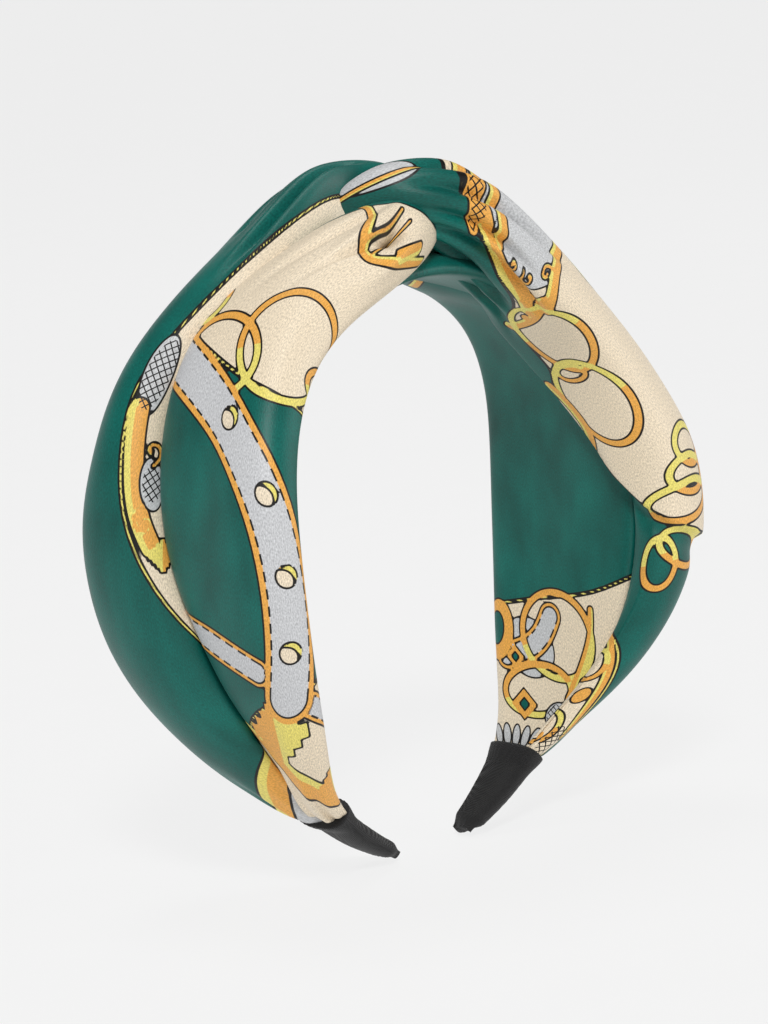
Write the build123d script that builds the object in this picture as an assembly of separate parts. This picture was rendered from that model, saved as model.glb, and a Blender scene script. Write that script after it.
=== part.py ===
"""Knotted headband: a stiff hoop inside two scarf strips that interlock in a turban knot.

Millimetres. X runs across the head, Y from front to back, Z up. The origin is on the
inner face at the crown, where the headband rests on the head. The two legs are mirror
images. The two knot loops are one shape, turned half a turn about Z.
"""
from build123d import *
from math import cos, radians, sin, sqrt
import os

# The inner face of one side is two arcs: a quarter circle from the crown to the widest
# level, then a larger arc that bends the leg in to its tip.
inner_half_width = 60.0
leg_bend_radius = 86.0
leg_bend_degrees = 62.0
cap_start_degrees = 47.5

# Layers, counted outward from the inner face.
panel_thickness = 0.8
layer_gap = 0.1
sleeve_wall = 0.4
hoop_thickness = 1.8

# The hoop is widest at the crown and narrows evenly to its tips.
hoop_half_width_crown = 13.0
hoop_half_width_tip = 2.4

# The two folds of scarf that lie along each leg with a valley between them.
strip_half_width = 29.0
strip_outer_offset = 12.5
strip_end_offset = 4.6
strip_end_half_width = 5.6
crown_panel_half_width = 16.0
valley_offset = 5.5
valley_gap = 0.6
crest_share = 0.5

# Ribbon caps on the tips.
cap_half_width_mouth = 5.8
cap_half_width_tip = 3.8
cap_inner_offset = -0.4
cap_outer_offset = 4.4
cap_corner_radius = 1.2
cap_end_wall_degrees = 0.8
tip_fold_length_degrees = 1.2
tip_fold_thickness = 2.2
tip_fold_half_width = 2.6
binding_length_degrees = 2.5
binding_thickness = 0.4

# The knot: two half rings, tilted opposite ways, each passing through the other.
loop_tube_radius = 5.2
loop_slack = 4.8
loop_gap = 0.6
loop_ring_shift = 6.5
loop_tilt_degrees = 30.0
arm_end_half_width = 13.2
arm_end_half_thickness = 4.2
tack_thread_radius = 0.4
tack_thread_spacing = 2.0
tack_thread_count = 3

# Where the hoop bends when the legs are spread.
flex_degrees = 28.0
hoop_gap_degrees = 0.6
strip_gap_degrees = 3.2

# Offsets and places that follow from the sizes above.
sleeve_inner = panel_thickness + layer_gap
hoop_inner = sleeve_inner + sleeve_wall + layer_gap
hoop_outer = hoop_inner + hoop_thickness
sleeve_outer = hoop_outer + layer_gap + sleeve_wall
fold_inner = sleeve_outer + layer_gap
loop_ring_radius = 2 * loop_tube_radius + loop_slack
loop_rise = loop_ring_radius * sin(radians(loop_tilt_degrees))
loop_centre_height = fold_inner + loop_tube_radius + loop_rise
crown_centre = Vector(0, 0, -inner_half_width)
leg_centre = Vector(inner_half_width - leg_bend_radius, 0, -inner_half_width)
widest_degrees = 90.0
leg_end_degrees = widest_degrees + leg_bend_degrees
strip_end_degrees = widest_degrees + cap_start_degrees
crown_half_degrees = flex_degrees - hoop_gap_degrees
leg_start_degrees = flex_degrees + hoop_gap_degrees
leg_strip_start_degrees = flex_degrees + strip_gap_degrees
wide = 4 * inner_half_width


def radial(angle):
    """Unit vector at an angle from straight up towards +X."""
    return Vector(sin(radians(angle)), 0, cos(radians(angle)))


def radial_plane(centre, angle):
    """Plane across the hoop: its x axis points outward and its y axis to the back."""
    normal = Vector(-cos(radians(angle)), 0, sin(radians(angle)))
    return Plane(origin=centre, x_dir=radial(angle), z_dir=normal)


def leg_point(offset, angle):
    """Point of the right leg's lower arc at an offset from the inner face."""
    return leg_centre + radial(angle) * (leg_bend_radius + offset)


def swept(section, start, end):
    """Carry a section, drawn as (offset, y), round the right side between two angles."""
    stretches = []
    if start < widest_degrees:
        stretches.append((crown_centre, inner_half_width, start, min(end, widest_degrees)))
    if end > widest_degrees:
        stretches.append((leg_centre, leg_bend_radius, max(start, widest_degrees), end))
    solid = Part()
    for centre, radius, begin, stop in stretches:
        face = radial_plane(centre, begin) * Pos(radius, 0) * section
        solid += revolve(face, Axis(centre, (0, 1, 0)), stop - begin)
    return solid


def block(inner, outer, half_width):
    """Rectangular section between two offsets."""
    return Pos((inner + outer) / 2, 0) * Rectangle(outer - inner, 2 * half_width)


def across_x(outline):
    """Carry a side view outline, drawn as (y, z), right through the headband."""
    side_view = Plane(origin=(-wide, 0, 0), x_dir=(0, 1, 0), z_dir=(1, 0, 0))
    return extrude(side_view * outline, 2 * wide)


def tapered_outline(top_half_width, top, end_half_width, end):
    """Side view with straight edges, drawing in from a top height to an end height."""
    points = [
        (-top_half_width, top),
        (-end_half_width, end),
        (end_half_width, end),
        (top_half_width, top),
    ]
    return across_x(Polygon(*points, align=None))


def hoop_outline(margin):
    """Side view of the hoop with a margin all round its edges."""
    end = leg_point(hoop_outer, leg_end_degrees).Z - 1
    return tapered_outline(
        hoop_half_width_crown + margin, sleeve_outer + 1, hoop_half_width_tip + margin, end
    )


def strip_outline():
    """Side view of a scarf strip: full width, then half an ellipse down to the cap."""
    drop = -inner_half_width - leg_point(strip_end_offset, strip_end_degrees).Z
    semi_height = drop / sqrt(1 - (strip_end_half_width / strip_half_width) ** 2)
    straight = Pos(0, wide / 2 - inner_half_width) * Rectangle(2 * strip_half_width, wide)
    rounded = Pos(0, -inner_half_width) * Ellipse(strip_half_width, semi_height)
    return across_x(straight + rounded)


def strip_envelope():
    """Limit of the folds: an outer arc that comes down to the mouth of the cap."""
    top = Vector(inner_half_width + strip_outer_offset, 0, -inner_half_width)
    end = leg_point(strip_end_offset, strip_end_degrees)
    inward = top.X - end.X
    radius = (inward**2 + (top.Z - end.Z) ** 2) / (2 * inward)
    rounded = Pos(top.X - radius, 0, top.Z) * Rot(90, 0, 0) * Cylinder(radius, wide)
    above = Pos(0, 0, top.Z + wide / 2) * Box(2 * wide, wide, wide)
    return rounded + above


def fold_section():
    """Front fold of scarf: flat inside, crowned outside, lowest beside the valley."""
    valley_edge = -valley_gap / 2
    outer_edge = -strip_half_width
    crest = (strip_outer_offset, valley_edge + crest_share * (outer_edge - valley_edge))
    under = Polyline(
        (valley_offset, valley_edge), (fold_inner, valley_edge), (fold_inner, outer_edge)
    )
    crown = ThreePointArc((fold_inner, outer_edge), crest, (valley_offset, valley_edge))
    return make_face(under + crown)


def hoop(start, end):
    """Stiff core of the headband between two angles."""
    return swept(block(hoop_inner, hoop_outer, strip_half_width), start, end) & hoop_outline(0)


def hoop_sleeve(start, end):
    """Fabric sleeve drawn over the hoop, open at both ends."""
    outside = swept(block(sleeve_inner, sleeve_outer, strip_half_width), start, end)
    hollow = swept(
        block(hoop_inner - layer_gap, hoop_outer + layer_gap, strip_half_width), start, end
    )
    return (outside & hoop_outline(layer_gap + sleeve_wall)) - (hollow & hoop_outline(layer_gap))


def inner_panel(start, end, half_width):
    """Face of the scarf that lies against the head."""
    return swept(block(0, panel_thickness, half_width), start, end) & strip_outline()


def front_fold():
    """Fold of scarf along the front edge of the right leg."""
    fold = swept(fold_section(), leg_strip_start_degrees, strip_end_degrees)
    return fold & strip_outline() & strip_envelope()


def end_binding():
    """Thread wound round the hoop's tip, inside the cap, that holds the gathered scarf."""
    start = strip_end_degrees + hoop_gap_degrees
    end = start + binding_length_degrees
    clear = layer_gap
    outer = swept(
        block(hoop_inner - clear - binding_thickness, hoop_outer + clear + binding_thickness,
              strip_half_width), start, end
    )
    core = swept(block(hoop_inner - clear, hoop_outer + clear, strip_half_width), start, end)
    return (outer & hoop_outline(clear + binding_thickness)) - (core & hoop_outline(clear))


def end_cap():
    """Ribbon cap over the hoop's tip, hollow for the hoop and its binding."""
    start = strip_end_degrees + hoop_gap_degrees / 2
    outside = Pos((cap_inner_offset + cap_outer_offset) / 2, 0) * RectangleRounded(
        cap_outer_offset - cap_inner_offset, 2 * cap_half_width_mouth, cap_corner_radius
    )
    end = leg_point(cap_outer_offset, leg_end_degrees).Z - 1
    mouth = leg_point(cap_inner_offset, strip_end_degrees).Z + 1
    cap = swept(outside, start, leg_end_degrees + cap_end_wall_degrees)
    cap &= tapered_outline(cap_half_width_mouth, mouth, cap_half_width_tip, end)
    clear = 2 * layer_gap + binding_thickness
    mouth_end = start + binding_length_degrees + hoop_gap_degrees
    wide_hollow = swept(block(hoop_inner - clear, hoop_outer + clear, strip_half_width), start, mouth_end)
    cap -= wide_hollow & hoop_outline(clear)
    slim_hollow = swept(
        block(hoop_inner - layer_gap, hoop_outer + layer_gap, strip_half_width),
        start, leg_end_degrees + layer_gap
    )
    return cap - (slim_hollow & hoop_outline(layer_gap))


def cap_tip_fold():
    """Folded ribbon end that stands out of the tip of the cap."""
    start = leg_end_degrees + cap_end_wall_degrees
    middle = (cap_inner_offset + cap_outer_offset) / 2
    section = Pos(middle, 0) * RectangleRounded(
        tip_fold_thickness, 2 * tip_fold_half_width, tip_fold_thickness / 3
    )
    return swept(section, start, start + tip_fold_length_degrees)


def loop_frame():
    """Where the left loop's ring stands: moved to the left, with its back side raised."""
    return Pos(-loop_ring_shift, 0, loop_centre_height) * Rot(loop_tilt_degrees, 0, 0)


def loop_half_ring(tube_radius):
    """Half a ring of rolled scarf whose bend points to +X."""
    cross_section = Plane(origin=(0, loop_ring_radius, 0), x_dir=(0, 1, 0), z_dir=(1, 0, 0))
    ring = revolve(cross_section * Circle(tube_radius), Axis((0, 0, 0), (0, 0, -1)), 180)
    return loop_frame() * ring


def loop_arm(side):
    """Arm from the half ring towards the leg; side is 1 for the back, -1 for the front."""
    near_centre = (loop_frame() * Pos(0, side * loop_ring_radius, 0)).position
    near = Plane(origin=near_centre, x_dir=(0, 1, 0), z_dir=(-1, 0, 0))
    far_offset = fold_inner + arm_end_half_thickness
    far_y = side * (valley_gap / 2 + arm_end_half_width)
    far = radial_plane(crown_centre, -crown_half_degrees)
    far = far * Pos(inner_half_width + far_offset, far_y)
    end_section = Ellipse(arm_end_half_thickness, arm_end_half_width)
    return loft([near * Circle(loop_tube_radius), far * end_section])


def left_knot_loop():
    """Loop of the left scarf strip, clear of the other loop's bend and of the sleeve."""
    seat_radius = inner_half_width + fold_inner
    seat = Pos(0, 0, -inner_half_width) * Rot(90, 0, 0) * Cylinder(seat_radius, wide)
    other_bend = Rot(0, 0, 180) * loop_half_ring(loop_tube_radius + loop_gap)
    arms = (loop_arm(1) + loop_arm(-1)) - other_bend
    return loop_half_ring(loop_tube_radius) + arms - seat


def knot_tack_stitches():
    """Threads across the middle of the knot that tie the two bends together."""
    inner_radius = loop_ring_radius - loop_tube_radius
    outermost = tack_thread_spacing * (tack_thread_count - 1) / 2 + tack_thread_radius
    reach = sqrt(inner_radius**2 - outermost**2) - loop_ring_shift - layer_gap
    threads = []
    for index in range(tack_thread_count):
        y = (index - (tack_thread_count - 1) / 2) * tack_thread_spacing
        thread = Rot(0, 90, 0) * Cylinder(tack_thread_radius, 2 * reach)
        threads.append(Pos(0, y, loop_centre_height) * thread)
    return Compound(threads)


def leg_parts():
    """Pieces of the right leg, by the last part of their names."""
    front = front_fold()
    return {
        "hoop": hoop(leg_start_degrees, leg_end_degrees),
        "hoop_sleeve": hoop_sleeve(leg_start_degrees, strip_end_degrees),
        "inner_panel": inner_panel(leg_strip_start_degrees, strip_end_degrees, strip_half_width),
        "front_fold": front,
        "back_fold": mirror(front, Plane.XZ),
        "end_binding": end_binding(),
        "end_cap": end_cap(),
        "cap_tip_fold": cap_tip_fold(),
    }


def crown_parts():
    """Pieces between the two places where the hoop bends."""
    left_loop = left_knot_loop()
    return {
        "hoop_crown": hoop(-crown_half_degrees, crown_half_degrees),
        "hoop_sleeve_crown": hoop_sleeve(-crown_half_degrees, crown_half_degrees),
        "crown_inner_panel": inner_panel(-crown_half_degrees, crown_half_degrees, crown_panel_half_width),
        "left_strip_knot_loop": left_loop,
        "right_strip_knot_loop": Rot(0, 0, 180) * left_loop,
        "knot_tack_stitches": knot_tack_stitches(),
    }


os.makedirs("parts", exist_ok=True)
nodes = crown_parts()
for name, piece in leg_parts().items():
    nodes["right_" + name] = piece
    nodes["left_" + name] = mirror(piece, Plane.YZ)
for name, piece in nodes.items():
    export_step(piece, f"parts/{name}.step")
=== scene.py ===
"""Looks of the knotted headband: two printed satin strips, interlocked at the crown.

Shapes are worked out in millimetres in the CAD frame, and become metres when a mesh is
made. X runs across the head, Y from front to back, Z up. Both strips have one shape: the
left one is the right one turned half a turn about Z, with its own print.
"""
import math
import bpy
import numpy as np
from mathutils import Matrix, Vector


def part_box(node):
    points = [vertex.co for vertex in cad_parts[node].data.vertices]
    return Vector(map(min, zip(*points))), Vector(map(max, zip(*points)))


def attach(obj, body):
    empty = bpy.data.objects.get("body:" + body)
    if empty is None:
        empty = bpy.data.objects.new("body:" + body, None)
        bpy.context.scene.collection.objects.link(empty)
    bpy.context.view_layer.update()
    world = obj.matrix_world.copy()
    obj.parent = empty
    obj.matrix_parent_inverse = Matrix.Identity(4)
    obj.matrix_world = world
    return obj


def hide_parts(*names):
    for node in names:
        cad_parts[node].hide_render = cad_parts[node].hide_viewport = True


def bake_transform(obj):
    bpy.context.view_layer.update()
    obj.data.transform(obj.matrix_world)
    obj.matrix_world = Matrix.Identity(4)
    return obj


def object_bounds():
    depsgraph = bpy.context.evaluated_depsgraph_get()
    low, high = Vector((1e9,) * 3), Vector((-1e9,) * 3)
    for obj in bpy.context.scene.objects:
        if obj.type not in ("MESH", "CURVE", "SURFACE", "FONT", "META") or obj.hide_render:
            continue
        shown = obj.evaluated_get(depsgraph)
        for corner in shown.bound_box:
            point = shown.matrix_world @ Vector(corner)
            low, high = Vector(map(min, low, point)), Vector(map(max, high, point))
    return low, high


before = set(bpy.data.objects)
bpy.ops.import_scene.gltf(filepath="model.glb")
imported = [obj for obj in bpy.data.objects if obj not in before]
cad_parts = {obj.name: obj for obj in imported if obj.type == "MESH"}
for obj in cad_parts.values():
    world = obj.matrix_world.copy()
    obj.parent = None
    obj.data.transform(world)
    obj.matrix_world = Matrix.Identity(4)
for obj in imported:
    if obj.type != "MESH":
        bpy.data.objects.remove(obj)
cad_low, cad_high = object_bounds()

MM = 0.001

# The line of the inner face: a quarter circle, then a larger arc in to the tip.
PANEL_THICKNESS = 0.8
HALF_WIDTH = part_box("right_inner_panel")[1][0] / MM - PANEL_THICKNESS
LEG_RADIUS = 86.0
WIDEST = 90.0
LEG_CENTRE = np.array([HALF_WIDTH - LEG_RADIUS, 0.0, -HALF_WIDTH])

# What points are multiplied by to put them on the other side.
NO_TURN = np.array([1.0, 1.0, 1.0])
HALF_TURN = np.array([-1.0, -1.0, 1.0])
MIRROR_X = np.array([-1.0, 1.0, 1.0])

# Control points round a strip, and the one at its free edge, where v is zero. A spline
# runs inside its control points, so the ovals are drawn larger by SPLINE_PULL.
RING_POINTS = 16
FREE_EDGE = 3.5
SPLINE_PULL = 1.06

# How high the cloth over the hoop lies, and the u where the over arm leaves the knot.
HOOP_TOP = 3.9
KNOT_EXIT = 204

# The grid of a strip: the spacing along it, and the number of points round it.
SPACING, AROUND = ((0.72, 168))

# Angles down the leg where the ribbon cap starts, folds and ends, then its sizes.
CAP_MOUTH = 136.9
CAP_FOLD = 152.6
TIP = 154.2
CAP_MIDDLE = 2.0
MOUTH_HALF_WIDTH = 8.0
CAP_NARROWING = 3.8
CAP_HALF_HEIGHT = 2.7
MOUTH_FLARE = 1.5
RIB_HEIGHT = 0.09
CAP_AROUND = 96

# Half the angle that the lining spans, and about how long a degree of each arc is.
CROWN_HALF_ANGLE = 31
CROWN_DEGREE = 1.05
LEG_DEGREE = 1.5

# The CAD nodes that a strip replaces on its side.
REPLACED = ("inner_panel", "front_fold", "back_fold", "strip_knot_loop")

# The print and the weaves: lengths in millimetres, and the inked share of each pitch.
# FAR is the distance from a colour that isn't painted yet.
COLOURS = ("cream", "grey", "gold", "yellow", "belt")
FAR = 50.0
OUTLINE = 0.48
SOFT_EDGE = 0.05
STITCH_HALF_WIDTH = 0.25
STITCH_PITCH = 4.0
STITCH_SHARE = 0.62
HATCH_PITCH = 1.9
HATCH_SHARE = 0.22
RIB_PITCH = 0.9
WEAVE_DEPTH = 0.0003

# The photograph's view, in degrees and metres, and the glow of the floor and the room.
AZIMUTH, ELEVATION, ROLL = -44.5, 8.9, 4.1
CAMERA_DISTANCE = 0.776
TARGET = Vector((-0.0034, 0.0034, -0.0569))
LENS = 112.5
FLOOR_GLOW = 0.80
STUDIO_GLOW = 0.12


def inner_point(angle):
    """Point on the inner face of the right side, and the outward direction there."""
    turn = math.radians(angle)
    outward = np.array([math.sin(turn), 0.0, math.cos(turn)])
    if angle <= WIDEST:
        return np.array([0.0, 0.0, -HALF_WIDTH]) + HALF_WIDTH * outward, outward
    return LEG_CENTRE + LEG_RADIUS * outward, outward


def on_leg(angle, side, outline):
    """Put an outline of (w, offset) points across the leg; side is +1 back, -1 front."""
    base, outward = inner_point(angle)
    across = np.array([0.0, side, 0.0])
    return [base + w * across + offset * outward for w, offset in outline]


def oval(centre, heading, half_width, half_height, lean=0.0):
    """Oval ring; heading is how far the path has turned from -X towards the front."""
    turn, roll = math.radians(heading), math.radians(lean)
    across = np.array([-math.sin(turn), math.cos(turn), 0.0])
    up = np.array([0.0, 0.0, 1.0])
    wide = across * math.cos(roll) + up * math.sin(roll)
    tall = up * math.cos(roll) - across * math.sin(roll)
    points = []
    for index in range(RING_POINTS):
        angle = math.radians(-90 + 360 * index / RING_POINTS)
        step = wide * half_width * math.cos(angle) + tall * half_height * math.sin(angle)
        points.append(np.array(centre) + SPLINE_PULL * step)
    return points


def bump(value, centre, width):
    """Smooth hump of 1 at the centre that falls away over the width."""
    return np.exp(-(((value - centre) / width) ** 2))


def ramp(value, start, end):
    """0 before start, 1 after end, smooth between."""
    t = np.clip((value - start) / (end - start), 0, 1)
    return t * t * (3 - 2 * t)


def hoop_cover(angle):
    """Height of cloth that covers the hoop; it thins where the strip enters its cap."""
    return HOOP_TOP - 1.7 * min(1.0, max(0.0, (angle - 126.0) / 12.0))


def under_outline(angle, free, covered, valley, crest):
    """The arm that holds the hoop: a hump at its free edge, a tongue under the other."""
    middle = (free + covered) / 2
    width = free - valley
    tongue = hoop_cover(angle)
    return [
        (middle, 0.0),
        (free * 0.6, 0.0),
        (free - 3, -0.1),
        (free + 0.6, 0.8),
        (free + 1.0, 0.42 * crest),
        (free - 1.5, 0.82 * crest),
        (free - 0.25 * width, crest * 1.04),
        (valley + 0.5 * width, crest * 1.06),
        (valley + 0.22 * width, crest * 1.02),
        (valley + 0.5, 0.9 * crest),
        (valley - 1.2, 0.62 * crest),
        (min(valley - 1, 0.6 * valley + 0.4 * covered), tongue),
        (covered + 0.5, tongue),
        (covered - 0.6, 0.55 * tongue),
        (covered + 0.5, 0.0),
        (middle + 0.5 * (covered - middle), 0.0),
    ]


def over_outline(angle, free, covered, valley, crest, wrap):
    """The arm on top: a hump from the valley to the free edge, wrapped round inside."""
    middle = (free + valley) / 2
    base = hoop_cover(angle) + 0.4
    roll = 1.5 * bump(angle, 66, 22)
    flat = 1 - 0.9 * ramp(angle, 130, 138)
    return [
        ((wrap + free) / 2, -(1.9 + roll) * flat),
        (free - 4, -(1.8 + 0.4 * roll) * flat),
        (free + 0.8, 0.0),
        (free + 1.2, 0.45 * crest),
        (free - 2.0, 0.9 * crest),
        (free - 0.35 * (free - valley), 1.07 * crest),
        (middle - 0.1 * (free - valley), 1.07 * crest),
        (valley + 0.18 * (free - valley), 0.98 * crest),
        (valley + 0.5, 0.72 * crest),
        (valley - 0.3, base + 0.3),
        (middle, base),
        (covered + 0.8, base),
        (covered + 1.6, 0.5 * base),
        (covered + 0.5, -0.5 * flat),
        ((wrap + covered) / 2, -0.6 * flat),
        (wrap - 1.5, -(1.4 + roll) * flat),
    ]


def strip_stations(fullness):
    """Control outlines along the right strip: tip, under arm, bend, over arm, tip.

    Fullness is how far the over arm swells beside the knot, in millimetres.
    """
    # Angle, then the free edge, covered edge, valley and crest height.
    under = [
        (139.5, 5.6, -5.6, -2.5, 2.8),
        (136.5, 7.0, -6.8, -1.5, 4.2),
        (133.0, 9.2, -8.6, 0.0, 5.6),
        (129.0, 12.0, -11.0, 2.0, 6.6),
        (123.0, 17.0, -15.0, 5.0, 8.2),
        (115.0, 22.5, -18.5, 5.0, 9.8),
        (105.0, 26.5, -20.5, 1.0, 11.0),
        (94.0, 28.5, -21.0, -5.0, 11.8),
        (82.0, 27.5, -20.5, -9.5, 12.2),
        (70.0, 24.5, -19.0, -12.5, 12.6),
        (58.0, 21.0, -18.0, -15.0, 13.2),
        (46.0, 18.0, -17.5, -15.5, 14.2),
        (35.0, 17.5, -15.0, -13.0, 15.6),
    ]
    knot = [
        oval((26.0, 7.0, 3.0), 0, 14.5, 10.5, -8),
        oval((16.0, 9.5, 7.5), 5, 12.5, 10.0, -8),
        oval((5.0, 10.5, 10.5), 15, 8.5, 9.0),
        oval((-5.0, 7.0, 13.5), 50, 6.5, 6.5),
        oval((-9.0, 0.0, 17.0), 90, 5.5, 6.5),
        oval((-4.0, -7.0, 20.0), 130, 8.0, 7.5),
        oval((5.0, -10.0, 17.0), 165, 12.0, 10.0, 16),
        oval((15.0, -11.0, 11.0), 180, 14.0, 11.5, 20),
    ]
    # Angle, free edge, covered edge, valley, crest height, edge of the wrap inside.
    over = [
        (30.0, 25.0, 15.0, 1.0, 16.0, 1.0),
        (40.0, 26.0, 16.0, 8.0, 13.5, -6.0),
        (50.0, 27.0, 17.0, 13.0, 12.8, -5.0),
        (60.0, 28.5, 18.0, 14.5, 13.2, -1.0),
        (70.0, 30.0, 19.0, 13.0, 14.4, 5.5),
        (80.0, 33.0, 21.0, 10.5, 16.0, 13.0),
        (90.0, 34.0, 22.0, 6.5, 16.8, 23.0),
        (100.0, 33.5, 22.0, 1.0, 16.6, 27.0),
        (110.0, 29.5, 20.5, -3.0, 14.8, 24.0),
        (120.0, 22.0, 16.5, -4.5, 11.6, 18.0),
        (128.0, 14.0, 11.0, -3.0, 8.0, 11.5),
        (133.0, 10.0, 8.0, -2.0, 6.6, 8.0),
        (136.5, 7.2, 6.0, -3.0, 5.2, 5.6),
        (139.5, 5.6, 4.6, -3.6, 4.0, 4.2),
    ]
    stations = [on_leg(row[0], 1, under_outline(*row)) for row in under]
    stations += knot
    for angle, free, covered, valley, crest, wrap in over:
        swell = fullness * bump(angle, 52, 24)
        outline = over_outline(angle, free + swell, covered, valley, crest + 0.6 * swell, wrap)
        stations.append(on_leg(angle, -1, outline))
    return np.array(stations)


def smooth(points, places, closed):
    """Uniform cubic B-spline of the control points, at places counted in points."""
    if closed:
        padded = np.concatenate([points[-1:], points, points[:2]])
        places = places % len(points)
    else:
        before, after = 2 * points[0] - points[1], 2 * points[-1] - points[-2]
        padded = np.concatenate([[before], points, [after]])
    span = np.minimum(places.astype(int), len(padded) - 4)
    t = (places - span).reshape((-1,) + (1,) * (points.ndim - 1))
    return (
        (1 - t) ** 3 * padded[span]
        + (3 * t**3 - 6 * t**2 + 4) * padded[span + 1]
        + (-3 * t**3 + 3 * t**2 + 3 * t + 1) * padded[span + 2]
        + t**3 * padded[span + 3]
    ) / 6


def path_lengths(points):
    """Length travelled at each point of a row of points."""
    steps = np.linalg.norm(np.diff(points, axis=0), axis=1)
    return np.concatenate([[0.0], np.cumsum(steps)])


class Strip:
    """Grid of points over the right strip, evenly spaced, with its cloth coordinates.

    ring says where a point is among an outline's control points. u is the length along
    the strip and v the length round it from the free edge, positive outside.
    """

    def __init__(self, spacing, around, fullness):
        net = strip_stations(fullness)
        places = np.linspace(0, len(net) - 1, 900)
        surface = smooth(net, places, closed=False)
        length = path_lengths(surface.mean(axis=1))
        rows = int(length[-1] / spacing)
        self.u_row = np.linspace(0, length[-1], rows)
        station = np.interp(self.u_row, length, places)
        surface = smooth(net, station, closed=False)
        ring_places = np.linspace(0, RING_POINTS, 481) + FREE_EDGE
        self.points = np.empty((rows, around, 3))
        self.ring = np.empty((rows, around))
        self.v = np.empty((rows, around))
        for row in range(rows):
            outline = smooth(surface[row], ring_places, closed=True)
            lengths = path_lengths(outline)
            even = np.linspace(0, lengths[-1], around, endpoint=False)
            self.ring[row] = np.interp(even, lengths, ring_places) % RING_POINTS
            self.v[row] = np.where(even > lengths[-1] / 2, even - lengths[-1], even)
            for axis in range(3):
                self.points[row, :, axis] = np.interp(even, lengths, outline[:, axis])
        self.u = np.repeat(self.u_row[:, None], around, axis=1)

    def normals(self):
        """Outward direction at every point."""
        along = np.gradient(self.points, axis=0)
        round_ring = np.roll(self.points, -1, axis=1) - np.roll(self.points, 1, axis=1)
        cross = np.cross(along, round_ring)
        return cross / np.maximum(np.linalg.norm(cross, axis=2, keepdims=True), 1e-9)

    def raise_by(self, height):
        """Move every point outward by a height in millimetres."""
        self.points = self.points + self.normals() * height[..., None]


def outside(strip):
    """1 on the outer face of the strip, 0 on its covered and inner faces."""
    return ramp(strip.ring, 3.2, 4.6) * (1 - ramp(strip.ring, 8.8, 10.0))


def pleats(strip):
    """Pleats that fan out of the knot along the over arm, and fade at different lengths."""
    height = np.zeros_like(strip.u)
    # Each crease: v where it leaves the knot, v where it ends, and its length.
    creases = [
        (-12, -33, 66),
        (-8, -25, 52),
        (-4, -17, 60),
        (0, -9, 44),
        (5, 0, 54),
        (10, 9, 40),
        (15, 19, 56),
    ]
    for start, end, length in creases:
        t = np.clip((strip.u - KNOT_EXIT) / length, 0, 1)
        line = start + (end - start) * t**0.8
        fade = ramp(strip.u, KNOT_EXIT + 2, KNOT_EXIT + 18) * (1 - ramp(t, 0.55, 1.0))
        swell = bump(strip.v, line + 2.4, 1.9) + bump(strip.v, line - 2.4, 1.9)
        height += fade * (0.8 * swell - 2.5 * bump(strip.v, line, 1.3))
    return height


def gathers(strip):
    """Small folds where the cloth is gathered into the caps; inside them it lies lower."""
    end = strip.u_row[-1]
    near_end = 1 - ramp(strip.u, 6, 36) + ramp(strip.u, end - 36, end - 6)
    in_cap = 1 - ramp(strip.u, 2, 7) + ramp(strip.u, end - 7, end - 2)
    wave = np.sin(3.1 * strip.ring + 0.5) + 0.6 * np.sin(5.3 * strip.ring + 1.1)
    return (0.5 * near_end * (1 - in_cap) * wave - 0.9 * in_cap) * outside(strip)


def soft_waves(strip):
    """Long shallow waves, so that the cloth isn't taut."""
    along_leg = np.sin(strip.u / 19.0 + 0.35 * strip.ring) * np.sin(strip.u / 34.0 + 1.0)
    across = np.sin(strip.v / 5.0 + strip.u / 33.0) * np.sin(strip.u / 27.0 + strip.v / 30.0)
    return 0.5 * along_leg * outside(strip) + 0.5 * across * (0.4 + 0.6 * outside(strip))


def overlap(strip):
    """1 on the over arm's upper layer, which ends in a fold with a shallow trough past it."""
    places_round = [-30, -18, -10, -3, 4, 20, 40]
    edge = np.interp(strip.v, places_round, [309, 321, 326, 328.5, 330, 332, 330])
    past = strip.u - edge
    layer = np.where(past < 0, np.exp(np.minimum(past, 0) / 22), 1 - ramp(past, 0, 1.6))
    shown = ramp(strip.v, -34, -24) * (1 - ramp(strip.v, 26, 38))
    return shown * (layer - 0.6 * bump(past, 4.0, 3.2))


def dimple(strip):
    """Pit where the under arm goes into the knot, with folds that run out of it."""
    pit = bump(strip.u, 168, 4.5) * bump(strip.v, 9.5, 2.4)
    fold = bump(strip.u, 162, 10) * (bump(strip.v, 14, 2.2) + bump(strip.v, 4.5, 2.2))
    groove = bump(strip.u, 160, 11) * bump(strip.v, 9.5 + (166 - strip.u) * 0.3, 1.3)
    second = bump(strip.u, 158, 12) * bump(strip.v, 18 + (166 - strip.u) * 0.3, 1.5)
    return 1.6 * fold - 6.0 * pit - 2.4 * groove - 1.6 * second


def tube_mesh(name, points):
    """Closed mesh of a tube of rings with capped ends, in metres."""
    rows, count = points.shape[:2]
    faces = []
    for row in range(rows - 1):
        for k in range(count):
            after = (k + 1) % count
            here, ahead = row * count, (row + 1) * count
            faces.append((here + k, ahead + k, ahead + after, here + after))
    faces.append(tuple(range(count)))
    faces.append(tuple((rows - 1) * count + k for k in range(count))[::-1])
    mesh = bpy.data.meshes.new(name)
    mesh.from_pydata((points.reshape(-1, 3) * MM).tolist(), [], faces)
    mesh.shade_smooth()
    piece = bpy.data.objects.new(name, mesh)
    bpy.context.scene.collection.objects.link(piece)
    return piece


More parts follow.
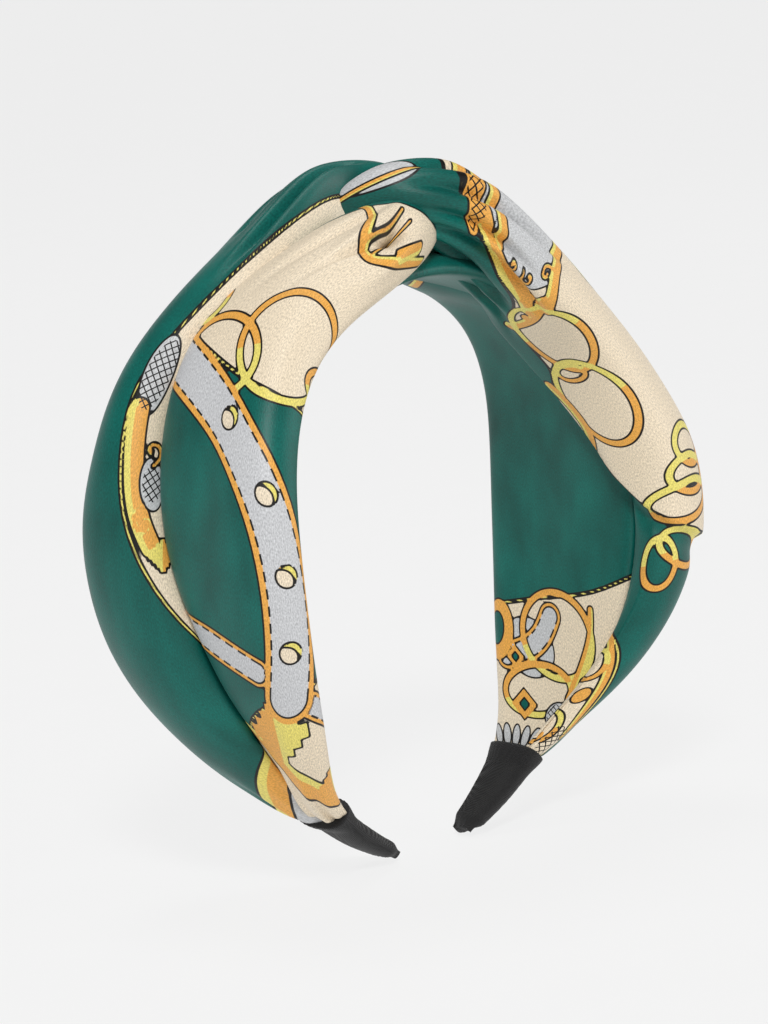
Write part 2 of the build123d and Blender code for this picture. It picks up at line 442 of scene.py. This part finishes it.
class Print:
    """The scarf's print, as signed distances in millimetres over a strip's points.

    Each colour's distance is below zero where that colour shows; green is the ground.
    Cream, grey and gold are drawn with a dark outline, yellow and belt without one.
    """

    def __init__(self, strip):
        self.u = strip.u
        self.v = strip.v
        self.colour = {name: np.full_like(strip.u, FAR) for name in COLOURS}
        self.hatch = np.full_like(strip.u, FAR)
        self.belt_length = np.zeros_like(strip.u)

    def paint(self, distance, colour):
        """Cover a shape with one colour; green uncovers the ground."""
        for name, field in self.colour.items():
            if name == colour:
                np.minimum(field, distance, out=field)
            else:
                np.maximum(field, -distance, out=field)

    def tint(self, distance):
        """Turn a part of what is gold to yellow, with no outline between them."""
        np.minimum(self.colour["yellow"], distance, out=self.colour["yellow"])

    def cross_hatch(self, distance):
        """Draw crossed lines over a shape."""
        np.minimum(self.hatch, distance, out=self.hatch)

    def ellipse(self, centre, radii, tilt=0.0):
        """Distance from an ellipse; tilt turns it from the u direction, in degrees."""
        turn = math.radians(tilt)
        du, dv = self.u - centre[0], self.v - centre[1]
        x = du * math.cos(turn) + dv * math.sin(turn)
        y = dv * math.cos(turn) - du * math.sin(turn)
        size = np.maximum(np.hypot(x / radii[0], y / radii[1]), 0.01)
        slope = np.hypot(x / radii[0] ** 2, y / radii[1] ** 2)
        return size * (size - 1) / np.maximum(slope, size / max(radii))

    def box(self, centre, half_sizes):
        """Distance from a rectangle."""
        across = abs(self.u - centre[0]) - half_sizes[0]
        return np.maximum(across, abs(self.v - centre[1]) - half_sizes[1])

    def path(self, points):
        """Distance from a smooth line, which side of it a point is, and length along it."""
        points = np.array(points, float)
        places = np.linspace(0, len(points) - 1, 4 * len(points))
        line = smooth(points, places, closed=False)
        lengths = path_lengths(line)
        nearest = np.full_like(self.u, 1e6)
        side = np.zeros_like(self.u)
        along = np.zeros_like(self.u)
        for index, (start, end) in enumerate(zip(line, line[1:])):
            step = end - start
            du, dv = self.u - start[0], self.v - start[1]
            t = np.clip((du * step[0] + dv * step[1]) / (step @ step), 0, 1)
            distance = np.hypot(du - t * step[0], dv - t * step[1])
            closer = distance < nearest
            nearest = np.where(closer, distance, nearest)
            side = np.where(closer, np.sign(step[0] * dv - step[1] * du), side)
            along = np.where(closer, lengths[index] + t * math.hypot(*step), along)
        return nearest, side, along

    def region(self, points, colour, border=0.9):
        """Colour one side of a line, with a yellow border: greater u, if it goes towards +v."""
        distance, side, _ = self.path(points)
        distance = distance * side
        self.paint(distance - border, "gold")
        self.tint(distance - border)
        self.paint(distance, colour)

    def ring(self, centre, radii, tilt=0.0, width=2.1):
        """A chain ring, yellow on one half."""
        distance = self.ellipse(centre, radii, tilt)
        band = abs(distance) - width / 2
        self.paint(band, "gold")
        self.tint(np.maximum(band, (self.u - centre[0]) + 0.3 * (self.v - centre[1])))

    def ribbon(self, points, half_width, colour="gold"):
        """A flat band of one colour along a line, edged with yellow on one side."""
        distance, side, _ = self.path(points)
        self.paint(distance - half_width, colour)
        if colour == "gold":
            self.tint(np.maximum(distance - half_width, side * distance + 0.3 * half_width))

    def belt(self, points, half_width, edge=1.7):
        """A grey strap with gold edges and a row of stitches inside each edge."""
        distance, _, along = self.path(points)
        self.paint(distance - half_width, "gold")
        inner = distance - half_width + edge
        self.colour["belt"] = np.minimum(self.colour["belt"], inner)
        self.belt_length = np.where(distance < half_width, along, self.belt_length)

    def eyelet(self, u, v, radius=2.6):
        """A cream hole in a belt, with a yellow crescent."""
        hole = self.ellipse((u, v), (radius, radius))
        self.paint(hole, "cream")
        crescent = np.maximum(hole, -self.ellipse((u - 1.0, v + 1.3), (radius, radius * 1.1)))
        self.paint(crescent, "gold")
        self.tint(crescent)

    def stepped_cross(self, centre, size):
        """A gold diamond with stepped edges and a yellow middle."""
        bars = [self.box(centre, (size * k / 4, size * (5 - k) / 4)) for k in (1, 2, 3, 4)]
        cross = np.minimum.reduce(bars)
        self.paint(cross, "gold")
        self.tint(np.maximum(cross, self.v - centre[1]))

    def diamond(self, centre, size):
        """A gold diamond with a green centre."""
        spread = abs(self.u - centre[0]) + abs(self.v - centre[1])
        self.paint((spread - size) * 0.7, "gold")
        self.paint((spread - 0.4 * size) * 0.7, "green")

    def scroll(self, centre, radius, start, turns):
        """A gold curl that winds in to its centre; start is an angle in degrees."""
        points = []
        for step in range(9):
            angle = math.radians(start + 360 * turns * step / 8)
            reach = radius * (1 - step / 9)
            along, across = reach * math.cos(angle), reach * math.sin(angle)
            points.append((centre[0] + along, centre[1] + across))
        self.ribbon(points, 0.6)

    def fields(self):
        """The three vector attributes that the satin's material reads."""
        colour = self.colour
        return {
            "print": (colour["cream"], colour["grey"], colour["gold"]),
            "trim": (colour["yellow"], colour["belt"], self.hatch),
            "cloth": (self.u, self.v, self.belt_length),
        }


def print_left(strip):
    """Belt on the front flap, rings and cream below the knot, a plain band behind."""
    art = Print(strip)
    art.region([(112, -30), (117, -8), (118, 6), (120, 16), (124, 26), (133, 45)], "cream")
    art.region([(196, -12), (184, -2), (177, 11), (171, 20), (158, 30), (140, 48)], "green", 0.0)
    art.region([(-10, 30), (30, 24), (44, 22), (50, 10), (52, -10), (60, -40)], "cream")
    art.ring((130, 7.5), (13, 13), 0)
    art.ring((124.5, 26), (9, 12), -10)
    art.ring((137, 38), (4.5, 5), 0)
    art.ring((126, -6), (4, 6), 0)
    art.ribbon([(12, -1), (20, 4), (28, 9), (36, 17), (40, 24)], 2.6)
    art.stepped_cross((20, 0), 5)
    art.stepped_cross((41, 12), 8.5)
    art.belt([(57, 14), (61, 22), (64, 30), (66, 42)], 3.6, 1.1)
    art.belt([(34, -8), (40, -4), (47, 2)], 3.2, 1.1)
    strap = [(50, 7), (61, 4.2), (78, 3.2), (94, 6.2), (106, 14), (114, 23), (121, 34), (126, 44)]
    art.belt(strap, 6.3)
    for u, v in ((61, 4.7), (78.4, 3.5), (96, 6.9), (111, 18)):
        art.eyelet(u, v)
    # The ribbon and leaf round the dimple, then the motifs in the valley behind the flap.
    art.ribbon([(176, -3), (167, 2), (159, 6), (156.5, 10), (161, 14), (168, 17), (171, 24)], 1.2)
    art.ribbon([(165, 4.4), (169, 3.4), (173, 2)], 1.6)
    art.ribbon([(159, 8.6), (166, 9.2), (174, 8.8)], 0.5)
    art.ribbon([(160, 12.4), (167, 11.8), (174, 12.2)], 0.5)
    valley = [
        (410, 60), (345, 46), (332, 35), (321, 28), (308, 21), (296, 17), (282, 15.4),
        (268, 18.3), (250, 22), (238, 22.4), (226, 25.5), (214, 34),
    ]
    art.region(valley, "cream")
    art.paint(art.ellipse((278, 19), (9, 3.4), 5), "grey")
    art.cross_hatch(art.ellipse((278, 19), (8, 3)))
    art.ribbon([(286, 18), (295, 19.5), (306, 23), (314, 28)], 2.4)
    art.paint(art.ellipse((301, 26), (6, 3), 20), "grey")
    art.cross_hatch(art.ellipse((301, 26), (4, 2.4), 20))
    art.scroll((309, 26), 3.6, 200, 0.9)
    art.scroll((294, 24), 3.2, 20, 0.9)
    art.stepped_cross((316, 31), 3.6)
    art.region([(400, -2), (388, 7), (379, 14), (371, 24), (365, 40)], "cream", 0.0)
    art.ribbon([(366, 36), (372, 24), (380, 14.5), (390, 6), (400, -2)], 2.6)
    art.ribbon([(372, 36), (378, 25), (386, 15), (396, 6)], 2.2, "grey")
    return art.fields()


def print_right(strip):
    """Cream with chains and a scrolled panel on the over arm, green behind it."""
    art = Print(strip)
    art.region([(42, 40), (42, 10), (44, -8), (47, -20), (48, -38), (60, -60)], "cream")
    art.paint(art.ellipse((33, -14), (8, 9), -30), "grey")
    art.belt([(30, -6), (32, -13), (36, -19), (42, -22)], 3.8, 1.2)
    art.paint(art.ellipse((37, -3.5), (8.5, 5.5), -8), "gold")
    art.paint(art.ellipse((37.5, -3), (4.5, 2.6), -8), "green")
    art.ring((37, -24), (11.5, 12), -35)
    art.ring((21.5, -16), (7, 11.5), 10)
    art.ribbon([(20, -26), (28, -31), (38, -36), (45, -36)], 1.0)
    art.diamond((17, -11), 4.6)
    art.diamond((30, -9), 3.4)
    for step in range(5):
        art.paint(art.ellipse((7.5, -2.4 - 3.1 * step), (3.4, 1.3), 24 - 12 * step), "grey")
    art.paint(art.ellipse((15, -22), (4.4, 3.2), -50), "grey")
    art.cross_hatch(art.ellipse((15, -22), (4.0, 2.8), -50))
    art.ribbon([(172, -27), (169, -20), (164, -13)], 1.4)
    panel_edge = [
        (331, 60), (331, 20), (330, 4), (328.5, -3), (325.5, -11), (321, -18), (315, -24.5),
        (308, -29), (300, -32), (292, -33.5), (285, -30), (280, -26.5), (274, -28), (265, -29),
        (258, -28), (252, -21.5), (244, -16.8), (234, -14), (226, -10), (221, -5), (219, 4),
        (217, 16), (212, 60),
    ]
    art.paint(art.ellipse((204, 8), (8, 4), 10), "grey")
    art.ribbon([(196, 4), (203, 5.5), (212, 9)], 0.7)
    art.region(panel_edge, "cream", 0.5)
    scrolled_panel(art)
    art.ring((266, -18.5), (13.5, 9.8), 6)
    art.ring((290, -19.5), (13.5, 10), -4)
    art.ring((280.5, -21), (2.6, 4.6), 12, 1.6)
    art.ribbon([(286, -32), (292, -29), (300, -27.5), (305, -30)], 1.8)
    art.ring((308, -1), (4.6, 5.4))
    art.ring((314.5, -4), (4.4, 6.6))
    art.ring((321, -7), (4.6, 9.6), 12)
    art.ring((333, -5.5), (4.4, 8), -14)
    art.ring((337.5, -12), (7, 4.4), 10)
    art.ring((330, 8), (6, 5))
    # Behind the free edge, out of the first view: a second chain and a belt.
    art.ring((262, 14), (12, 9), 15)
    art.ring((284, 20), (12, 9), -10)
    art.belt([(352, 44), (340, 30), (334, 20), (336, 8)], 4.6, 1.4)
    # Cream by the cap, with a ribbon and small rings along its border.
    over_end = [(372, -50), (362, -34), (357, -18), (362, -10), (372, -4.5), (386, 0), (410, 6)]
    art.region(over_end, "cream")
    art.ribbon([(358, -17), (364, -10), (374, -5), (388, -1)], 1.1)
    art.paint(art.ellipse((377, -7.6), (2.6, 1.8)), "gold")
    art.ring((368, -13), (5, 3.4), 30, 1.6)
    art.ring((388, -8), (5, 3.2), 15, 1.6)
    art.cross_hatch(art.box((391, -3), (5, 2)))
    return art.fields()


def scrolled_panel(art):
    """Gold frame with curls round a grey oval, ending in a beaded clasp."""
    art.paint(art.ellipse((236, -1), (14, 12), -12), "grey")
    frame_edge = [(222, 16), (221, 4), (223.5, -5), (229, -10), (237, -13), (246, -15), (254, -19)]
    art.ribbon(frame_edge, 1.9)
    art.paint(art.ellipse((221.5, 2), (2.4, 9), -6), "gold")
    art.cross_hatch(art.ellipse((221.5, 2), (1.8, 8), -6))
    art.ribbon([(226, 12), (226.5, 2), (229, -6)], 1.5)
    art.paint(art.ellipse((238, -0.5), (7.6, 6.2), 10), "grey")
    art.ribbon([(250, 14), (250, 4), (248, -3), (250, -9), (255, -14)], 1.9)
    art.scroll((234, -9), 2.4, 200, 0.9)
    art.scroll((241, -9.5), 2.6, 160, 0.9)
    art.scroll((246, -6), 2.4, 60, 0.9)
    art.ribbon([(250, -12), (255, -16), (260, -22), (262, -30)], 1.7)
    for step in range(4):
        art.paint(art.ellipse((252 + 1.7 * step, -14 - 2.6 * step), (1.6, 1.2), -30), "gold")
    art.paint(art.ellipse((248.5, -15.5), (2.2, 1.6), 20), "gold")


class Shade:
    """Short ways to add nodes to a material."""

    def __init__(self, name):
        self.material = bpy.data.materials.new(name)
        self.material.use_nodes = True
        self.tree = self.material.node_tree
        self.shader = self.tree.nodes["Principled BSDF"]

    def add(self, kind, **inputs):
        """A node whose inputs, by name with _ for a space, are values or other sockets."""
        node = self.tree.nodes.new(kind)
        for name, value in inputs.items():
            self.put(value, node.inputs[name.replace("_", " ")])
        return node

    def put(self, value, socket):
        """Give a socket a value or a link."""
        if isinstance(value, bpy.types.NodeSocket):
            self.tree.links.new(value, socket)
        else:
            socket.default_value = value

    def maths(self, operation, first, second=0.0):
        """Result of a Math node."""
        node = self.tree.nodes.new("ShaderNodeMath")
        node.operation = operation
        self.put(first, node.inputs[0])
        self.put(second, node.inputs[1])
        return node.outputs[0]

    def scaled(self, value, factor, offset):
        """A value times a factor, plus an offset."""
        node = self.tree.nodes.new("ShaderNodeMath")
        node.operation = "MULTIPLY_ADD"
        for given, socket in zip((value, factor, offset), node.inputs):
            self.put(given, socket)
        return node.outputs[0]

    def below(self, value, limit):
        """1 where a value is under a limit, with a soft edge of a tenth of a millimetre."""
        step = self.add("ShaderNodeMapRange", Value=value)
        step.inputs["From Min"].default_value = limit + SOFT_EDGE
        step.inputs["From Max"].default_value = limit - SOFT_EDGE
        return step.outputs["Result"]

    def mix(self, amount, first, second, blend="MIX"):
        """Blend of two colours."""
        node = self.tree.nodes.new("ShaderNodeMix")
        node.data_type = "RGBA"
        node.blend_type = blend
        self.put(amount, node.inputs[0])
        self.put(first, node.inputs[6])
        self.put(second, node.inputs[7])
        return node.outputs[2]

    def parts(self, attribute):
        """The three numbers of a vector attribute."""
        source = self.tree.nodes.new("ShaderNodeAttribute")
        source.attribute_name = attribute
        return list(self.add("ShaderNodeSeparateXYZ", Vector=source.outputs["Vector"]).outputs)

    def point(self, x, y, z=0.0):
        """A vector of three numbers."""
        return self.add("ShaderNodeCombineXYZ", X=x, Y=y, Z=z).outputs[0]

    def noise(self, place, scale, detail=2.0):
        """Noise from 0 to 1."""
        node = self.add("ShaderNodeTexNoise", Vector=place, Scale=scale, Detail=detail)
        return node.outputs[0]

    def finish(self, colour, roughness, height, relief, **constants):
        """Link colour, roughness and bump, and set the shader's constants."""
        bump_node = self.add("ShaderNodeBump", Height=height, Strength=relief, Distance=WEAVE_DEPTH)
        self.put(colour, self.shader.inputs["Base Color"])
        self.put(roughness, self.shader.inputs["Roughness"])
        self.put(bump_node.outputs[0], self.shader.inputs["Normal"])
        for name, value in constants.items():
            self.shader.inputs[name.replace("_", " ")].default_value = value
        return self.material


def rgb(red, green, blue):
    """Linear colour from the 0-255 values seen on a screen."""
    return tuple((value / 255) ** 2.2 for value in (red, green, blue)) + (1.0,)


def satin_material():
    """Printed satin: colours and outlines from the print, with a fine twill, a sheen, and painted
    sheen and shade on the green.
    """
    shade = Shade("printed_satin")
    cream, grey, gold = shade.parts("print")
    yellow, belt, hatch = shade.parts("trim")
    u, v, belt_length = shade.parts("cloth")
    thread = shade.point(shade.maths("MULTIPLY", u, 1.7), shade.maths("MULTIPLY", v, 3.8))
    twill = shade.noise(thread, 1.0)
    # Painted sheen and painted fold shade: soft lighter and darker patches of green, stretched along
    # the strip.
    painted_sheen_and_shade = shade.noise(shade.point(u, shade.maths("MULTIPLY", v, 2.0)), 0.05)
    colour = shade.mix(painted_sheen_and_shade, rgb(0, 60, 55), rgb(6, 114, 103))
    layers = [
        (cream, rgb(229, 213, 187)),
        (grey, rgb(196, 197, 198)),
        (gold, rgb(230, 166, 78)),
        (yellow, rgb(228, 214, 112)),
        (belt, rgb(196, 197, 199)),
    ]
    for field, tone in layers:
        colour = shade.mix(shade.below(field, 0.0), colour, tone)
    outline = printed_lines(shade, (cream, grey, gold), belt, hatch, (u, v, belt_length))
    colour = shade.mix(outline, colour, rgb(24, 22, 20))
    speckle = shade.scaled(twill, 1.3, 0.32)
    colour = shade.mix(1.0, colour, shade.point(speckle, speckle, speckle), "MULTIPLY")
    roughness = shade.scaled(twill, 0.18, 0.34)
    return shade.finish(
        colour, roughness, twill, 0.22, Sheen_Weight=0.04, Sheen_Roughness=0.4, Specular_IOR_Level=0.3
    )


def printed_lines(shade, outlined, belt, hatch, cloth):
    """1 on the print's dark lines: outlines, the stitches of a belt and cross hatching."""
    u, v, belt_length = cloth
    stitch = shade.maths("FRACT", shade.maths("DIVIDE", belt_length, STITCH_PITCH))
    near_edge = shade.below(shade.maths("ABSOLUTE", belt), STITCH_HALF_WIDTH)
    lines = shade.maths("MULTIPLY", near_edge, shade.maths("LESS_THAN", stitch, STITCH_SHARE))
    for field in outlined:
        edge = shade.below(shade.maths("ABSOLUTE", field), OUTLINE / 2)
        lines = shade.maths("MAXIMUM", lines, edge)
    for direction in ("ADD", "SUBTRACT"):
        slant = shade.maths("DIVIDE", shade.maths(direction, u, v), HATCH_PITCH)
        inked = shade.maths("LESS_THAN", shade.maths("FRACT", slant), HATCH_SHARE)
        hatched = shade.maths("MULTIPLY", inked, shade.below(hatch, 0.0))
        lines = shade.maths("MAXIMUM", lines, hatched)
    return lines


def plain_material(name, colour, other, scale, roughness, relief):
    """A plain finish with a small variation of colour and a fine grain."""
    shade = Shade(name)
    place = shade.add("ShaderNodeTexCoord").outputs["Object"]
    grain = shade.noise(place, scale, 3.0)
    return shade.finish(shade.mix(grain, colour, other), roughness, grain, relief)


def ribbon_material():
    """Black grosgrain: ribs that run along the cap, with a dull sheen."""
    shade = Shade("black_grosgrain")
    along, across, _ = shade.parts("cloth")
    ribs = shade.maths("SINE", shade.maths("MULTIPLY", across, 2 * math.pi / RIB_PITCH))
    dust = shade.noise(shade.point(along, across), 1.6, 3.0)
    colour = shade.mix(dust, rgb(5, 4, 5), rgb(19, 17, 19))
    height = shade.scaled(ribs, 0.4, 0.5)
    return shade.finish(colour, 0.72, height, 0.6, Sheen_Weight=0.08, Sheen_Roughness=0.5)


def end_cap(side, turn, material):
    """Ribbon cap over a tip: ribbed, narrowing, and pinched to a folded end."""
    body, folded_end = np.linspace(CAP_MOUTH, CAP_FOLD, 30), np.linspace(CAP_FOLD + 0.2, TIP, 10)
    angles = np.concatenate([body, folded_end])
    ring = np.linspace(0, 2 * math.pi, CAP_AROUND, endpoint=False)
    points = np.empty((len(angles), CAP_AROUND, 3))
    cloth = np.empty((len(angles), CAP_AROUND, 3))
    for row, angle in enumerate(angles):
        base, outward = inner_point(angle)
        t = (angle - CAP_MOUTH) / (CAP_FOLD - CAP_MOUTH)
        fold = ramp(angle, CAP_FOLD - 1.0, TIP)
        half_width = MOUTH_HALF_WIDTH - CAP_NARROWING * min(t, 1.0) ** 0.85 - 1.4 * fold
        half_height = CAP_HALF_HEIGHT + MOUTH_FLARE * (1 - ramp(t, 0.0, 0.25))
        half_height -= 1.3 * fold + 0.5 * ramp(t, 0.5, 1.0)
        wide = np.sign(np.cos(ring)) * abs(np.cos(ring)) ** 0.7 * half_width
        tall = np.sign(np.sin(ring)) * abs(np.sin(ring)) ** 0.8 * half_height
        length_round = ring * (half_width + half_height) * 0.8
        tall = tall + RIB_HEIGHT * np.sin(2 * math.pi * length_round / RIB_PITCH) * (1 - fold)
        tall = tall + 0.5 * fold * np.sin(3 * ring + 4 * t)
        bend = 0.8 * fold * math.sin(6 * t)
        for k in range(CAP_AROUND):
            lift = outward * (CAP_MIDDLE + tall[k] + bend)
            points[row, k] = base + lift + np.array([0.0, wide[k], 0.0])
            cloth[row, k] = (angle * LEG_DEGREE, length_round[k], 0.0)
    piece = tube_mesh(f"{side}_ribbon_cap", points * turn)
    set_attribute(piece, "cloth", cloth)
    piece.data.materials.append(material)
    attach(piece, f"{side}_leg")
    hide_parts(f"{side}_end_cap", f"{side}_cap_tip_fold")


def crown_lining(material):
    """Rolled band of plain satin under the knot, where the headband rests on the head."""
    angles = np.linspace(-CROWN_HALF_ANGLE, CROWN_HALF_ANGLE, 60)
    loop = [
        (-16, 0), (-17, 2), (-14, 5.5), (0, 6.5), (14, 5.5), (17, 2),
        (16, 0), (8, -0.4), (0, -0.5), (-8, -0.4),
    ]
    places = np.linspace(0, len(loop), 40, endpoint=False)
    outline = smooth(np.array(loop), places, closed=True)
    points = np.empty((len(angles), len(outline), 3))
    cloth = np.zeros(points.shape)
    for row, angle in enumerate(angles):
        base, outward = inner_point(abs(angle))
        mirror = MIRROR_X if angle < 0 else NO_TURN
        for k, (w, offset) in enumerate(outline):
            points[row, k] = (base + outward * offset) * mirror + np.array([0.0, w, 0.0])
            cloth[row, k] = (angle * CROWN_DEGREE, w, 0.0)
    piece = tube_mesh("crown_lining", points)
    set_attribute(piece, "cloth", cloth)
    for name in ("print", "trim"):
        set_attribute(piece, name, np.full_like(cloth, FAR))
    piece.data.materials.append(material)
    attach(piece, "crown")
    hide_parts("crown_inner_panel")


def set_attribute(piece, name, values):
    """Vector attribute on a mesh's vertices."""
    attribute = piece.data.attributes.new(name, "FLOAT_VECTOR", "POINT")
    attribute.data.foreach_set("vector", np.ascontiguousarray(values, np.float32).ravel())


def scarf_strip(side, turn, fullness, overlap_height, print_for, material):
    """One scarf strip: pleated, folded and printed.

    Turn is what the right strip's points are multiplied by to give this one. Fullness and
    overlap_height are in millimetres.
    """
    strip = Strip(SPACING, AROUND, fullness)
    strip.raise_by(
        pleats(strip)
        + gathers(strip)
        + soft_waves(strip)
        + dimple(strip)
        + overlap_height * overlap(strip)
    )
    piece = tube_mesh(f"{side}_scarf_strip", strip.points * turn)
    for name, fields in print_for(strip).items():
        set_attribute(piece, name, np.stack(fields, axis=2))
    piece.data.materials.append(material)
    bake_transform(piece)
    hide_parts(*[f"{side}_{part}" for part in REPLACED])


def finish_cad_nodes():
    """Materials of the hoop, sleeve and threads, which stay as they are in the CAD."""
    plastic = plain_material("black_plastic", rgb(20, 20, 21), rgb(34, 34, 36), 180, 0.45, 0.15)
    lining = plain_material("plain_lining", rgb(14, 84, 68), rgb(26, 108, 90), 2200, 0.7, 0.5)
    thread = plain_material("green_thread", rgb(14, 78, 64), rgb(30, 112, 94), 3000, 0.6, 0.5)
    for name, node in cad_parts.items():
        if node.hide_render:
            continue
        node.data.materials.clear()
        if "sleeve" in name:
            node.data.materials.append(lining)
        elif "hoop" in name:
            node.data.materials.append(plastic)
        else:
            node.data.materials.append(thread)


def backdrop():
    """Round pale floor that sweeps up all round, far from the headband."""
    # Radius and height in metres, from the middle out.
    outline = [(0.0, 0.0), (0.8, 0.0), (1.6, 0.0), (2.1, 0.03), (2.5, 0.2), (2.8, 0.6), (2.9, 1.2)]
    profile = smooth(np.array(outline), np.linspace(0.2, len(outline) - 1, 40), closed=False)
    floor_height = cad_low[2] - 0.001
    count = 96
    vertices = [(0.0, 0.0, floor_height)]
    for radius, height in profile:
        for k in range(count):
            turn = 2 * math.pi * k / count
            x, y = radius * math.cos(turn), radius * math.sin(turn)
            vertices.append((x, y, floor_height + height))
    faces = [(0, 1 + k, 1 + (k + 1) % count) for k in range(count)]
    for row in range(len(profile) - 1):
        first = 1 + row * count
        for k in range(count):
            after = (k + 1) % count
            faces.append((first + k, first + count + k, first + count + after, first + after))
    mesh = bpy.data.meshes.new("backdrop")
    mesh.from_pydata(vertices, [], faces)
    mesh.shade_smooth()
    floor = bpy.data.objects.new("backdrop", mesh)
    bpy.context.scene.collection.objects.link(floor)
    shade = Shade("pale_paper")
    grain = shade.noise(shade.add("ShaderNodeTexCoord").outputs["Object"], 40.0)
    colour = shade.mix(grain, rgb(80, 80, 80), rgb(84, 84, 84))
    mesh.materials.append(shade.finish(colour, 0.9, grain, 0.05))
    shade.shader.inputs["Emission Color"].default_value = (1, 1, 1, 1)
    shade.shader.inputs["Emission Strength"].default_value = FLOOR_GLOW


def camera_and_light():
    """Camera at the photograph's angle, and soft even light from a bright studio."""
    scene = bpy.context.scene
    camera = bpy.data.objects.new("camera", bpy.data.cameras.new("camera"))
    scene.collection.objects.link(camera)
    camera.data.lens = LENS
    azimuth, elevation = math.radians(AZIMUTH), math.radians(ELEVATION)
    level = math.cos(elevation)
    back = Vector((math.sin(azimuth) * level, -math.cos(azimuth) * level, math.sin(elevation)))
    camera.location = TARGET + CAMERA_DISTANCE * back
    camera.rotation_euler = (-back).to_track_quat("-Z", "Y").to_euler()
    camera.rotation_euler.rotate_axis("Z", -math.radians(ROLL))
    scene.camera = camera
    scene.view_settings.view_transform = "Standard"
    world = bpy.data.worlds.new("studio")
    world.use_nodes = True
    background = world.node_tree.nodes["Background"]
    background.inputs["Color"].default_value = (0.88, 0.88, 0.88, 1)
    background.inputs["Strength"].default_value = STUDIO_GLOW
    scene.world = world
    # Name, place and width in metres, and power in watts.
    lamps = [
        ("key", (-0.75, -0.75, 1.0), 0.3, 12.5),
        ("fill", (0.8, -0.9, 0.25), 0.5, 2.5),
        ("top", (0.1, 0.3, 1.2), 0.4, 4.0),
    ]
    for name, place, size, power in lamps:
        lamp = bpy.data.objects.new(name, bpy.data.lights.new(name, "AREA"))
        lamp.data.size = size
        lamp.data.energy = power
        lamp.location = place
        lamp.rotation_euler = (TARGET - Vector(place)).to_track_quat("-Z", "Y").to_euler()
        scene.collection.objects.link(lamp)


satin = satin_material()
scarf_strip("right", NO_TURN, -1.5, 1.7, print_right, satin)
scarf_strip("left", HALF_TURN, 5.5, 0.0, print_left, satin)
grosgrain = ribbon_material()
end_cap("right", NO_TURN, grosgrain)
end_cap("left", HALF_TURN, grosgrain)
crown_lining(satin)
finish_cad_nodes()
backdrop()
camera_and_light()
